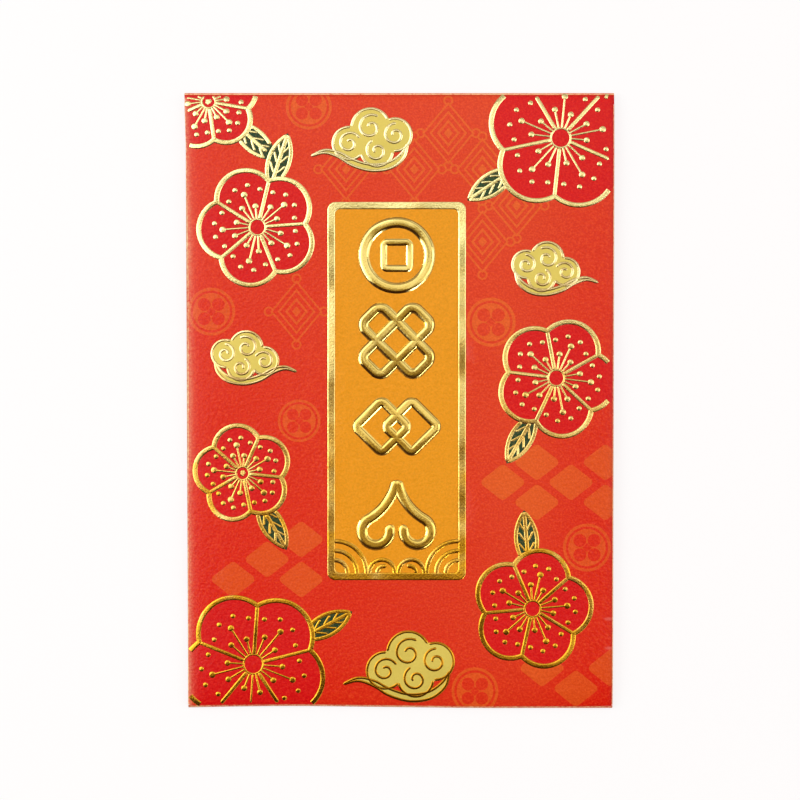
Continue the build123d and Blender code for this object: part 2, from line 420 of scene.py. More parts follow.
# blossoms on the front; each lies over those that follow it
blossomLook = {
    "petals": 5,
    "petalShare": 0.52,
    "petalPoints": 56,
    "line": 0.95,
    "lineHeight": 0.09,
    "lineStep": 0.3,
    "petalOverlap": 0.3,        # how far an outline runs on into the next petal
    "parting": 0.7,
    "partingHeight": 0.0855,
    "partingPoints": 40,
    "leafLength": 11.04,
    "leafWidth": 4.64,
    "leafLine": 0.72,
    "leafLineHeight": 0.0765,
    "leafOverlap": 4.0,
    "midribGap": 0.4,
    "midribPoints": 40,
    "veinPairs": (0.28, 0.18, 3),       # first place along the leaf, pitch and number
    "veinReach": 1.9,
    "veinRise": (0.1, 1.35, 0.12),      # start, rise, and how much less each further pair rises
    "veinBend": 0.8,
    "veinPoints": 14,
    "vein": 0.42,
    "veinHeight": 0.06,
    "knockout": 0.3,
    "bedded": 0.008,
    "foilLow": (-39.5, -57.1),  # corners of the area that foil reaches; it stops short of the right edge
    "foilHigh": (39.0, 57.1),
}
blossoms = (
    {"node": "blossom_top_right", "at": (30.0, 49.09), "radius": 14.0, "turn": 12, "leaf": 214},
    {"node": "blossom_upper_left", "at": (-26.8, 32.34), "radius": 11.52, "turn": 40, "leaf": 72},
    {"node": "blossom_top_left", "at": (-35.6, 56.02), "radius": 9.52, "turn": 25, "leaf": 318},
    {"node": "blossom_right", "at": (29.2, 4.04), "radius": 11.52, "turn": 65, "leaf": 240},
    {"node": "blossom_left", "at": (-29.6, -13.86), "radius": 9.52, "turn": 30, "leaf": 300},
    {"node": "blossom_bottom_left", "at": (-27.6, -49.67), "radius": 14.0, "turn": 50, "leaf": 28},
    {"node": "blossom_bottom_right", "at": (24.8, -39.27), "radius": 11.52, "turn": 5, "leaf": 95},
)


def petalCentres(blossom):
    reach = blossom["radius"] * (1 - blossomLook["petalShare"])
    return circlePoints(*blossom["at"], reach, blossomLook["petals"], math.radians(blossom["turn"]))


def petalRadius(blossom):
    return blossom["radius"] * blossomLook["petalShare"]


# a leaf is a lens: its length, half its width, and the radius of its two arcs
def leafLens(grow):
    length = blossomLook["leafLength"] + 2 * grow
    half = blossomLook["leafWidth"] / 2 + grow
    return length, half, (length ** 2 / 4 + half ** 2) / (2 * half)


# leaf outline along +X from its stalk, as two arcs
def leafOutline(grow=0.0, step=0.3):
    length, half, radius = leafLens(grow)
    spread = math.asin(length / 2 / radius)
    middle = length / 2 - grow
    upper = arcPoints(middle, half - radius, radius, math.pi / 2 + spread, math.pi / 2 - spread, step)
    lower = arcPoints(middle, radius - half, radius, spread - math.pi / 2, -spread - math.pi / 2, step)
    return upper, lower


def leafPlaced(points, blossom):
    start = np.asarray(points, float) + (blossom["radius"] - blossomLook["leafOverlap"], 0)
    return turned(start, blossom["leaf"], *blossom["at"])


def inPetals(points, blossom, grow):
    gaps = np.linalg.norm(points[:, None, :] - petalCentres(blossom)[None], axis=2)
    return (gaps < petalRadius(blossom) + grow).any(axis=1)


def inLeaf(points, blossom, grow):
    local = turned(points - np.array(blossom["at"]), -blossom["leaf"])
    along = local[:, 0] - (blossom["radius"] - blossomLook["leafOverlap"])
    _, half, radius = leafLens(grow)
    offset = along - blossomLook["leafLength"] / 2
    width = np.sqrt(np.clip(radius ** 2 - offset ** 2, 0, None)) - (radius - half)
    return np.abs(local[:, 1]) < width


plaqueLow, plaqueHigh = boxOf("plaque_frame")


# where a motif may show: inside the bare border, and not behind what lies over it
def isOpen(points, over):
    gap = blossomLook["knockout"]
    shown = within(points, np.array(blossomLook["foilLow"]), np.array(blossomLook["foilHigh"]))
    shown &= ~within(points, plaqueLow[:2] - gap, plaqueHigh[:2] + gap)
    for blossom in over:
        shown &= ~inPetals(points, blossom, gap) & ~inLeaf(points, blossom, gap)
    return shown


# splits a path into the runs that show, as (points, closed)
def shownRuns(points, shown, closed=False):
    if closed and shown.all():
        return [(points, True)]
    if closed and shown.any():
        first = int(np.argmin(shown))
        points, shown = np.roll(points, -first, axis=0), np.roll(shown, -first)
    runs, current = [], []
    for point, keep in zip(points, shown):
        if keep:
            current.append(point)
        elif current:
            runs.append(current)
            current = []
    runs.append(current)
    return [(np.array(run), False) for run in runs if len(run) > 2]


def openRuns(points, over, closed=False):
    return shownRuns(points, isOpen(points, over), closed)


# one die-cut blank, drawn flat with its inks, then folded
leftLow, leftHigh = boxOf("left_fold")
rightLow, rightHigh = boxOf("right_fold")
footLow, footHigh = boxOf("bottom_fold")
frontLow, frontHigh = boxOf("front_panel")
blank = {
    "card": frontHigh[2] - frontLow[2],
    "front": frontHigh[2],
    "leftScore": leftHigh[0],
    "leftRadius": (leftHigh[2] - leftLow[2]) / 2,
    "rightScore": rightLow[0],
    "rightRadius": (rightHigh[2] - rightLow[2]) / 2,
    "footScore": footHigh[1],
    "headScore": boxOf("top_fold")[0][1],
    "endRadius": (footHigh[2] - footLow[2]) / 2,
    "mouth": leftHigh[1],
    "backFoot": leftLow[1],
    "leftEar": 0.45,                # how far the head and foot reach round the side folds
    "rightEar": 0.35,
    "earRound": (0.3, 0.12, 0.5),   # the rounding of such an ear: its start, inset and end
    "slit": (0.04, 0.08),           # the cut that parts an ear from a side fold, narrow and wide end
    "leftCrest": (0.9, 0.3, 0.17),  # rubbed ink and painted highlight on a fold: how much, where round it, over what share
    "rightCrest": (2.0, 0.2, 0.08),
    "footCrest": (1.3, 0.22, 0.09),
    "creaseFade": (0.2, 1.6, 11),   # painted shade at a score: width on the front, start and drop on the fold
    "leftRubAndHighlight": (0.3, 0.45, 1.7),    # rubbed ink and painted highlight beside the left fold: how much, width and limit
    "foldSteps": 10,
    "closeRows": (0.4, 0.9, 1.6, 2.6),  # rows of points where the front rises from its folds
    "frontGrid": 2.4,
    "backGrid": 6.0,
    "plaqueInset": 0.4,
    "tabTaper": 4.0,
    "bottomTaper": 6.0,
    "bottomCorner": 3.0,
    "flapTaper": 9.0,
    "flapCorner": 8.0,
}
leftRun = math.pi * blank["leftRadius"]
rightRun = math.pi * blank["rightRadius"]
endRun = math.pi * blank["endRadius"]
backReach = boxOf("back_panel")[1][0] - blank["leftScore"]
tabReach = blank["rightScore"] - boxOf("side_seam_tab")[0][0]
bottomReach = boxOf("bottom_flap")[1][1] - blank["footScore"]
flapReach = blank["headScore"] - boxOf("top_flap")[0][1]


# rolls one axis of the flat sheet: distance past the score to place and height
def rollOver(past, radius, front, depth):
    run = math.pi * radius
    angle = np.clip(past / radius, 0, math.pi)
    out = np.where(past < 0, past, (radius - depth) * np.sin(angle))
    out = np.where(past > run, -(past - run), out)
    high = front - radius + (radius - depth) * np.cos(angle)
    return out, high


def foldBlank(flat, depth):
    u, v = flat.T
    look = blank
    x, y = u.copy(), v.copy()
    z = np.full(len(u), look["front"] - depth)
    rolls = (
        (look["leftScore"] - u, look["leftRadius"], x, -1, look["leftScore"]),
        (u - look["rightScore"], look["rightRadius"], x, 1, look["rightScore"]),
        (look["footScore"] - v, look["endRadius"], y, -1, look["footScore"]),
        (v - look["headScore"], look["endRadius"], y, 1, look["headScore"]),
    )
    for past, radius, target, side, score in rolls:
        beyond = past > 1e-7
        out, high = rollOver(past, radius, look["front"], depth)
        target[beyond] = score + side * out[beyond]
        z[beyond] += high[beyond] - (look["front"] - depth)
    return np.stack([x, y, z], axis=1)


# drops the points that no triangle uses
def trimmed(flat, triangles):
    used = sorted({index for triangle in triangles for index in triangle})
    place = {index: number for number, index in enumerate(used)}
    triangles = [[place[index] for index in triangle] for triangle in triangles]
    return np.array([flat[index][:] for index in used]), triangles


# triangulates an outline with its ink areas; a later area lies over an earlier one
def cutSheet(outline, areas, lines, spots):
    points, edges, faces = [], [], []
    for polygon in [outline] + [area for area, _ in areas]:
        faces.append(list(range(len(points), len(points) + len(polygon))))
        points.extend(polygon)
    for start, end in lines:
        edges.append((len(points), len(points) + 1))
        points.extend([start, end])
    points.extend(spots)
    vectors = [Vector((float(p[0]), float(p[1]))) for p in points]
    flat, _, triangles, _, _, origins = delaunay_2d_cdt(vectors, edges, faces, 1, 1e-5)
    kept, kinds = [], []
    for triangle, origin in zip(triangles, origins):
        if 0 in origin:
            kept.append(list(triangle))
            kinds.append(0 if max(origin) == 0 else areas[max(origin) - 1][1])
    return *trimmed(flat, kept), kinds


# closes two like layers of triangles with a rim
def twoLayers(upper, lower, triangles):
    count = len(upper)
    sides = {side: True for t in triangles for side in zip(t, t[1:] + t[:1])}
    faces = triangles + [[count + i for i in reversed(t)] for t in triangles]
    faces += [[b, a, count + a, count + b] for a, b in sides if (b, a) not in sides]
    return np.vstack([upper, lower]), faces


# folds a sheet and gives it its inner face and cut edges
def thickCard(flat, triangles, kinds, innerKind):
    points, faces = twoLayers(foldBlank(flat, 0.0), foldBlank(flat, blank["card"]), triangles)
    return points, faces, kinds + [innerKind] * (len(faces) - len(kinds))


def gridSpots(x0, x1, y0, y1, step):
    columns = max(int((x1 - x0) / step), 1)
    rows = max(int((y1 - y0) / step), 1)
    xs = np.linspace(x0, x1, columns + 1)[1:-1]
    ys = np.linspace(y0, y1, rows + 1)[1:-1]
    return [(x, y) for x in xs for y in ys]


def unit(vector):
    return vector / np.linalg.norm(vector)


def roundedCorner(corner, before, after, radius, step=0.5):
    corner, before, after = (np.array(p, float) for p in (corner, before, after))
    toBefore, toAfter = unit(before - corner), unit(after - corner)
    half = math.acos(float(toBefore @ toAfter)) / 2
    reach = radius / math.tan(half)
    centre = corner + unit(toBefore + toAfter) * radius / math.sin(half)
    start = corner + toBefore * reach - centre
    end = corner + toAfter * reach - centre
    a0 = math.atan2(start[1], start[0])
    a1 = math.atan2(end[1], end[0])
    a1 += 2 * math.pi * round((a0 - a1) / (2 * math.pi))
    return arcPoints(*centre, radius, a0, a1, step).tolist()


# tone-on-tone ornaments behind the motifs
toneLook = {
    "lozengeHalf": (4.5, 3.5),
    "lozengePitch": (6.4, 3.76),
    "lozenges": (                   # cluster middle and its cells
        ((25.6, -19.3), ((0, 0), (1, 0), (0, 1), (1, 1), (1, -1), (2, 0))),
        ((-25.0, -30.0), ((0, 0), (1, 0), (0, -1), (-1, 0))),
        ((33.0, -54.0), ((0, 0), (1, 0), (0, 1))),
    ),
    "lozengeCorner": 0.8,
    "frets": ((9.0, 50.0), (15.4, 43.2), (2.6, 43.2), (-10.2, 43.2), (21.8, 36.4), (15.4, 29.6),
              (-19.5, 16.5)),
    "fretHalf": (4.9, 5.9),
    "fretShares": (1.0, 0.91, 0.72, 0.63, 0.44, 0.33, 0.17),
    "fretLoop": (0.95, 0.6),
    "fretLoopGap": 0.3,
    "fretLoopPoints": 20,
    "roundels": ((-17.2, 55.0, 4.3), (-35.5, 16.5, 4.5), (17.0, 14.5, 4.6), (35.0, -27.8, 4.5),
                 (-19.0, -4.0, 4.0), (14.0, -54.5, 4.4)),
    "roundelRings": ((1.0, 48), (0.88, 48), (0.78, 40)),    # share of the radius, and points round it
    "roundelSeeds": (0.42, 0.27, 24),   # how far out the four seeds lie, their radius and points
    "roundelHeart": 0.2,
}


def lozenge(x, y, halfX, halfY):
    return [(x + halfX, y), (x, y + halfY), (x - halfX, y), (x, y - halfY)]


def discArea(x, y, radius, count, kind):
    return circlePoints(x, y, radius, count).tolist(), kind


def toneAreas(tone, ground):
    look = toneLook
    areas = []
    halfX, halfY = look["lozengeHalf"]
    pitchX, pitchY = look["lozengePitch"]
    for (x, y), cells in look["lozenges"]:
        for i, j in cells:
            cell = lozenge(x + (i - j) * pitchX, y + (i + j) * pitchY, halfX, halfY)
            rounded = []
            for before, corner, after in zip(cell[-1:] + cell, cell, cell[1:] + cell[:1]):
                rounded += roundedCorner(corner, before, after, look["lozengeCorner"])
            areas.append((rounded, tone))
    inTurn = (tone, ground)
    fretX, fretY = look["fretHalf"]
    gap = look["fretLoopGap"]
    for x, y in look["frets"]:
        for cornerX, cornerY in lozenge(x, y, fretX + gap, fretY + gap):
            for radius, kind in zip(look["fretLoop"], inTurn):
                areas.append(discArea(cornerX, cornerY, radius, look["fretLoopPoints"], kind))
        for number, share in enumerate(look["fretShares"]):
            areas.append((lozenge(x, y, fretX * share, fretY * share), inTurn[number % 2]))
    seedsOut, seed, seedPoints = look["roundelSeeds"]
    for x, y, radius in look["roundels"]:
        for number, (share, count) in enumerate(look["roundelRings"]):
            areas.append(discArea(x, y, radius * share, count, inTurn[number % 2]))
        for seedX, seedY in circlePoints(x, y, radius * seedsOut, 4, math.pi / 4):
            areas.append(discArea(seedX, seedY, radius * seed, seedPoints, ground))
        heart = radius * look["roundelHeart"]
        areas.append((lozenge(x, y, heart, heart), ground))
    return areas


# keeps an area's polygon inside the printed sheet
def clipToSheet(polygon, low, high):
    for axis, limit, sign in ((0, low[0], 1), (0, high[0], -1), (1, low[1], 1), (1, high[1], -1)):
        kept = []
        for p, q in zip(polygon, polygon[1:] + polygon[:1]):
            pIn, qIn = (sign * (end[axis] - limit) >= 0 for end in (p, q))
            if pIn:
                kept.append(p)
            if pIn != qIn:
                share = (limit - p[axis]) / (q[axis] - p[axis])
                kept.append((p[0] + share * (q[0] - p[0]), p[1] + share * (q[1] - p[1])))
        polygon = kept
        if len(polygon) < 3:
            return []
    return polygon


def pocketAreas(kinds):
    areas = toneAreas(kinds["tone"], kinds["ground"])
    for blossom in reversed(blossoms):
        upper, lower = leafOutline()
        leaf = leafPlaced(np.vstack([lower[::-1][:-1], upper[::-1][:-1]]), blossom)
        areas.append((leaf.tolist(), kinds["leaf"]))
        for x, y in petalCentres(blossom):
            areas.append(discArea(x, y, petalRadius(blossom), blossomLook["petalPoints"], kinds["petal"]))
    inset = blank["plaqueInset"]
    areas.append((rectangle(*(plaqueLow[:2] + inset), *(plaqueHigh[:2] - inset)), kinds["plaque"]))
    low = (blank["leftScore"] - leftRun, blank["footScore"] - endRun)
    high = (blank["rightScore"] + rightRun, blank["headScore"])
    clipped = [(clipToSheet([tuple(p) for p in polygon], low, high), kind) for polygon, kind in areas]
    return [(polygon, kind) for polygon, kind in clipped if polygon]


# a band of paler ink round a fold: partly rubbed ink, partly a painted highlight where the fold's edge
# catches the light
def crestRubAndHighlight(past, run, crest):
    strength, middle, width = crest
    share = past / run
    return np.where((share > 0) & (share < 1), strength * np.exp(-((share - middle) / width) ** 2), 0)


# painted shade: 1 where the front turns down into a fold, fading out on the front and on the fold
def creaseShade(past, run):
    fade, start, drop = blank["creaseFade"]
    return np.where(past < 0, np.exp(np.minimum(past, 0) / fade), np.clip(start - drop * past / run, 0, 1))


# paler ink that fades inwards from the front's left edge, within the close rows of points there: partly
# rubbed ink, partly a painted highlight of the sheen beside the left fold
def edgeRubAndHighlight(gap):
    strength, width, limit = blank["leftRubAndHighlight"]
    return np.where((gap > -1e-6) & (gap < limit), strength * np.exp(-gap / width), 0)


# rubbed ink, painted highlights and painted shade on the folds of the pocket's sheet
def pocketRubAndLight(flat):
    look = blank
    u, v = flat.T.copy()
    pastLeft, pastRight = look["leftScore"] - u, u - look["rightScore"]
    pastFoot, pastHead = look["footScore"] - v, v - look["headScore"]
    wear = np.maximum(crestRubAndHighlight(pastLeft, leftRun, look["leftCrest"]), edgeRubAndHighlight(-pastLeft))
    wear = np.maximum(wear, crestRubAndHighlight(pastRight, rightRun, look["rightCrest"]))
    # painted shade where the front turns into the right and head folds
    wear = wear - np.maximum(creaseShade(pastRight, rightRun), creaseShade(pastHead, endRun))
    wear = np.where(pastFoot < 1e-6, wear, 0)  # the foot has too few points across for the sides' rub, highlight and shade
    return wear + crestRubAndHighlight(pastFoot, endRun, look["footCrest"])


# rubbed ink and painted light as one value per point; below 0 it is painted shade
def rubAndLightAttribute(piece, wear):
    attribute = piece.data.attributes.new("wear", "FLOAT", "POINT")
    attribute.data.foreach_set("value", np.concatenate([wear, wear]).astype(np.float32))  # both layers


# the rounded end of the head or foot where it reaches round a side fold
def earEnd(wide, score, apex, inwards, onwards):
    start, inset, end = blank["earRound"]
    return [(wide, apex - onwards * start), (wide + inwards * inset, apex), (score, apex + onwards * end)]


# the two rounded corners of a tapered flap, from its first side to its last
def taperedTip(first, last, root, tip, taper, corner):
    inset = math.copysign(taper, last - first)
    near, far = (first + inset, tip), (last - inset, tip)
    return roundedCorner(near, (first, root), far, corner) + roundedCorner(far, near, (last, root), corner)


def pocketCard():
    look = blank
    left, right = look["leftScore"], look["rightScore"]
    foot, head = look["footScore"], look["headScore"]
    mouth, backFoot = look["mouth"], look["backFoot"]
    backEnd = left - leftRun - backReach
    tabRoot, tabEnd = right + rightRun, right + rightRun + tabReach
    flapRoot, flapTip = foot - endRun, foot - endRun - bottomReach
    taper, tabTaper = look["bottomTaper"], look["tabTaper"]
    wideLeft, wideRight = left - look["leftEar"], right + look["rightEar"]
    apex = foot - endRun / 2
    narrow, wide = look["slit"]
    outline = [(wideRight, head), (wideLeft, head)]
    outline += [(wideLeft, mouth + wide), (left, mouth + narrow), (left, mouth)]
    outline += [(backEnd, mouth), (backEnd, backFoot)]
    outline += [(left, backFoot), (left, backFoot - narrow), (wideLeft, backFoot - wide)]
    outline += earEnd(wideLeft, left, apex, 1, -1) + [(left, flapRoot)]
    outline += taperedTip(left, right, flapRoot, flapTip, taper, look["bottomCorner"])
    outline += [(right, flapRoot)] + earEnd(wideRight, right, apex, -1, -1)[::-1]
    outline += [(wideRight, backFoot - wide), (right, backFoot - narrow), (right, backFoot)]
    outline += [(tabRoot, backFoot), (tabEnd, backFoot + tabTaper)]
    outline += [(tabEnd, mouth - tabTaper), (tabRoot, mouth)]
    outline += [(right, mouth), (right, mouth + narrow), (wideRight, mouth + wide)]
    lines = []
    for step in range(look["foldSteps"] + 1):
        share = step / look["foldSteps"]
        for u in (left - leftRun * share, right + rightRun * share):
            lines.append(((u, backFoot), (u, mouth)))
        lines.append(((wideLeft, foot - endRun * share), (wideRight, foot - endRun * share)))
    for gap in look["closeRows"]:
        lines += [((u, foot), (u, head)) for u in (left + gap, right - gap)]
        lines += [((left, v), (right, v)) for v in (foot + gap, head - gap)]
    spots = gridSpots(left + gap, right - gap, foot + gap, head - gap, look["frontGrid"])
    spots += gridSpots(backEnd, left - leftRun, backFoot, mouth, look["backGrid"])
    spots += gridSpots(left + taper, right - taper, flapTip, flapRoot, look["backGrid"])
    kinds = {"ground": 0, "tone": 1, "petal": 2, "leaf": 3, "plaque": 4, "bare": 5}
    flat, triangles, triangleKinds = cutSheet(outline, pocketAreas(kinds), lines, spots)
    points, faces, faceKinds = thickCard(flat, triangles, triangleKinds, kinds["bare"])
    materials = [groundPrint, tonePrint, petalPrint, leafPrint, plaquePrint, bareCard]
    piece = makePiece("pocketCard", points, faces, materials, faceKinds)
    rubAndLightAttribute(piece, pocketRubAndLight(flat))
    return piece


def flapCard():
    look = blank
    left, right, head = look["leftScore"], look["rightScore"], look["headScore"]
    root, tip = head + endRun, head + endRun + flapReach
    taper = look["flapTaper"]
    wideLeft, wideRight = left - look["leftEar"], right + look["rightEar"]
    apex = head + endRun / 2
    outline = [(wideLeft, head), (wideRight, head)]
    outline += earEnd(wideRight, right, apex, -1, 1) + [(right, root)]
    outline += taperedTip(right, left, root, tip, taper, look["flapCorner"])
    outline += [(left, root)] + earEnd(wideLeft, left, apex, 1, 1)[::-1]
    lines = []
    steps = look["foldSteps"] * 2
    for step in range(steps + 1):
        v = head + endRun * step / steps
        lines.append(((wideLeft, v), (wideRight, v)))
    spots = gridSpots(left + taper, right - taper, root, tip, look["backGrid"])
    flat, triangles, kinds = cutSheet(outline, [], lines, spots)
    points, faces, faceKinds = thickCard(flat, triangles, kinds, 1)
    piece = makePiece("flapCard", points, faces, [groundPrint, bareCard], faceKinds)
    past = flat[:, 1] - head
    # rubbed ink and painted highlight round the head's fold, less painted shade where the front turns into
    # it
    rubAndLightAttribute(piece, crestRubAndHighlight(past, endRun, look["rightCrest"]) - creaseShade(past, endRun))
    return piece


pocket = pocketCard()
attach(pocket, "pocket")
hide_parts("front_panel", "left_fold", "back_panel", "right_fold", "side_seam_tab",
            "bottom_fold", "bottom_flap")
flap = flapCard()
blank["headScore"] * mm
blank["headScore"] * mm
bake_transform(flap)
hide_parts("top_fold", "flap_fold", "top_flap")
print("card folded:", len(pocket.data.polygons), "and", len(flap.data.polygons), "faces")


# Geometry Nodes: starts a tree with named inputs, ends it, and runs it
def nodeTree(name, inputs):
    tree = bpy.data.node_groups.new(name, "GeometryNodeTree")
    for label, kind in {"Geometry": "NodeSocketGeometry", **inputs}.items():
        tree.interface.new_socket(label, in_out="INPUT", socket_type=kind)
    tree.interface.new_socket("Geometry", in_out="OUTPUT", socket_type="NodeSocketGeometry")
    entry = tree.nodes.new("NodeGroupInput")
    return Wire(tree), {label: Wire(tree, entry.outputs[label]) for label in ("Geometry", *inputs)}


def endTree(wire, geometry, foil):
    plain = wire.node("GeometryNodeRealizeInstances", inputs={"Geometry": geometry})
    plain = wire.node("GeometryNodeSetMaterial", inputs={"Geometry": plain, "Material": foil})
    connect(plain, wire.tree.nodes.new("NodeGroupOutput"), 0)
    return wire.tree


# gives the points and faces of the mesh that a tree makes
def runTree(tree, data, values):
    source = bpy.data.objects.new(data.name, data)
    scene.collection.objects.link(source)
    modifier = source.modifiers.new("shape", "NODES")
    modifier.node_group = tree
    for item in tree.interface.items_tree:
        if item.in_out == "INPUT" and item.name in values:
            modifier[item.identifier] = values[item.name]
    bpy.context.view_layer.update()
    shaped = source.evaluated_get(bpy.context.evaluated_depsgraph_get())
    mesh = bpy.data.meshes.new_from_object(shaped)
    points = np.zeros(len(mesh.vertices) * 3)
    mesh.vertices.foreach_get("co", points)
    faces = [list(polygon.vertices) for polygon in mesh.polygons]
    bpy.data.objects.remove(source)
    bpy.data.meshes.remove(mesh)
    (bpy.data.curves if isinstance(data, bpy.types.Curve) else bpy.data.meshes).remove(data)
    return points.reshape(-1, 3), faces


# sweeps a foil profile along curves: sloped flanks of the half width's given share, and a low crown
def foilLineTree():
    inputs = dict.fromkeys(("Line Width", "Line Height", "Flank", "Crown"), "NodeSocketFloat")
    inputs |= {"Profile Points": "NodeSocketInt", "Foil": "NodeSocketMaterial"}
    wire, given = nodeTree("foilLine", inputs)
    arc = wire.node("GeometryNodeCurveArc", {"mode": "RADIUS"}, {
        "Resolution": given["Profile Points"], "Radius": 1.0,
        "Start Angle": math.pi, "Sweep Angle": math.pi})
    across, _, _ = axesOf(wire, wire.node("GeometryNodeInputPosition"))
    out = across.math("ABSOLUTE", across)
    flank = out.math("DIVIDE", 1.0 - out, given["Flank"], clamp=True)
    crown = given["Crown"]
    rise = (flank * (1.0 - crown) + (1.0 - out * out) * crown) * given["Line Height"]
    side = across * given["Line Width"] * 0.5
    shaped = wire.node("ShaderNodeCombineXYZ", inputs={0: side, 1: rise * -1.0})  # the profile's -Y is up
    profile = wire.node("GeometryNodeSetPosition", inputs={"Geometry": arc, "Position": shaped})
    profile = wire.node("GeometryNodeSetSplineCyclic", inputs={"Geometry": profile, "Cyclic": True})
    path = wire.node("GeometryNodeSetCurveNormal", {"mode": "Z_UP"}, {"Curve": given["Geometry"]})
    swept = wire.node("GeometryNodeCurveToMesh", inputs={
        "Curve": path, "Profile Curve": profile,
        "Scale": wire.node("GeometryNodeInputRadius"), "Fill Caps": True})
    return endTree(wire, swept, given["Foil"])


# domed dots on the vertices of a mesh, sized by their "size" attribute
def foilDotTree():
    wire, given = nodeTree("foilDot", {"Dot Height": "NodeSocketFloat", "Foil": "NodeSocketMaterial"})
    ball = wire.node("GeometryNodeMeshUVSphere", inputs={"Segments": 12, "Rings": 6, "Radius": 1.0})
    size = wire.node("GeometryNodeInputNamedAttribute", {"data_type": "FLOAT"}, {"Name": "size"})
    scale = wire.node("ShaderNodeCombineXYZ", inputs={0: size, 1: size, 2: given["Dot Height"]})
    dots = wire.node("GeometryNodeInstanceOnPoints", inputs={
        "Points": given["Geometry"], "Instance": ball, "Scale": scale})
    return endTree(wire, dots, given["Foil"])


lineTree = foilLineTree()
dotTree = foilDotTree()


# foil line profiles: flank share, crown share and points across
flatLine = {"Flank": 0.3, "Crown": 0.15, "Profile Points": 9}
fineLine = {"Flank": 0.6, "Crown": 0.2, "Profile Points": 7}
waveLine = {"Flank": 0.45, "Crown": 0.2, "Profile Points": 11}
embossedLine = {"Flank": 0.4, "Crown": 0.22, "Profile Points": 15}
endShare = 0.05         # what is left of a line's width at the tip of a round end


# runs are (points, closed); heights are added when the mesh is placed
def sweepRuns(runs, width, height, profile, roundEnds, foil):
    curve = bpy.data.curves.new("paths", "CURVE")
    curve.dimensions = "3D"
    for points, closed in runs:
        spline = curve.splines.new("POLY")
        spline.points.add(len(points) - 1)
        spline.use_cyclic_u = closed
        flat = np.zeros((len(points), 4))
        flat[:, :2] = points
        spline.points.foreach_set("co", flat.ravel())
        radius = np.ones(len(points))
        if roundEnds and not closed:
            steps = np.linalg.norm(np.diff(points, axis=0), axis=1)
            along = np.concatenate([[0], np.cumsum(steps)])
            fromEnd = np.minimum(along, along[-1] - along)
            share = np.clip(1 - fromEnd / (width / 2), 0, 1)
            radius = np.maximum(np.sqrt(1 - share ** 2), endShare)
        spline.points.foreach_set("radius", radius)
    return runTree(lineTree, curve, {"Line Width": width, "Line Height": height, "Foil": foil, **profile})


def dotShapes(dots, height, foil):
    mesh = bpy.data.meshes.new("dotPlaces")
    mesh.from_pydata([(x, y, 0.0) for x, y, _ in dots], [], [])
    mesh.attributes.new("size", "FLOAT", "POINT").data.foreach_set("value", [size for _, _, size in dots])
    return runTree(dotTree, mesh, {"Dot Height": height, "Foil": foil})


# joins shapes made flat at z 0 into one piece on the front; each has a lift and the number of its foil
def foilPiece(name, shapes, foils, sharpAngle=60):
    points, faces, faceKinds = [], [], []
    for (own, ownFaces), lift, kind in shapes:
        offset = sum(len(p) for p in points)
        points.append(own + (0, 0, blank["front"] + lift))
        faces += [[offset + i for i in face] for face in ownFaces]
        faceKinds += [kind] * len(ownFaces)
    return makePiece(name, np.vstack(points), faces, foils, faceKinds, sharpAngle)


# stamens and seeds round a blossom's eye; how far out they reach is a share of its radius
stamenLook = {
    "filaments": (              # angle from the petal's middle, reach, its stretch, and the tip's dot
        (-17, 0.30, 1.15, 0.552),
        (0, 0.42, 1.35, 0.6),
        (17, 0.34, 1.15, 0.552),
    ),
    "filamentPoints": 24,
    "seeds": ((-26, 0.62), (-9, 0.70), (9, 0.70), (26, 0.62)),     # angle, and how far out
    "seedDot": 0.46,
    "line": 0.36,
    "lineHeight": 0.06,
    "eye": 0.13,
    "eyeStep": 0.2,
    "dotHeight": 0.09,
}


# paths of a leaf along +X: its outline with the midrib, and its veins
def leafPaths():
    look = blossomLook
    length = look["leafLength"]
    count = look["midribPoints"]
    midrib = np.stack([np.linspace(0, length - look["midribGap"], count), np.zeros(count)], axis=1)
    first, pitch, pairs = look["veinPairs"]
    start, rise, less = look["veinRise"]
    along = np.linspace(0, 1, look["veinPoints"])
    veins = []
    for pair in range(pairs):
        x = length * (first + pitch * pair) + along * look["veinReach"]
        y = start + along ** look["veinBend"] * (rise - less * pair)
        veins += [np.stack([x, side * y], axis=1) for side in (1, -1)]
    return [*leafOutline(-look["leafLine"] / 2), midrib], veins


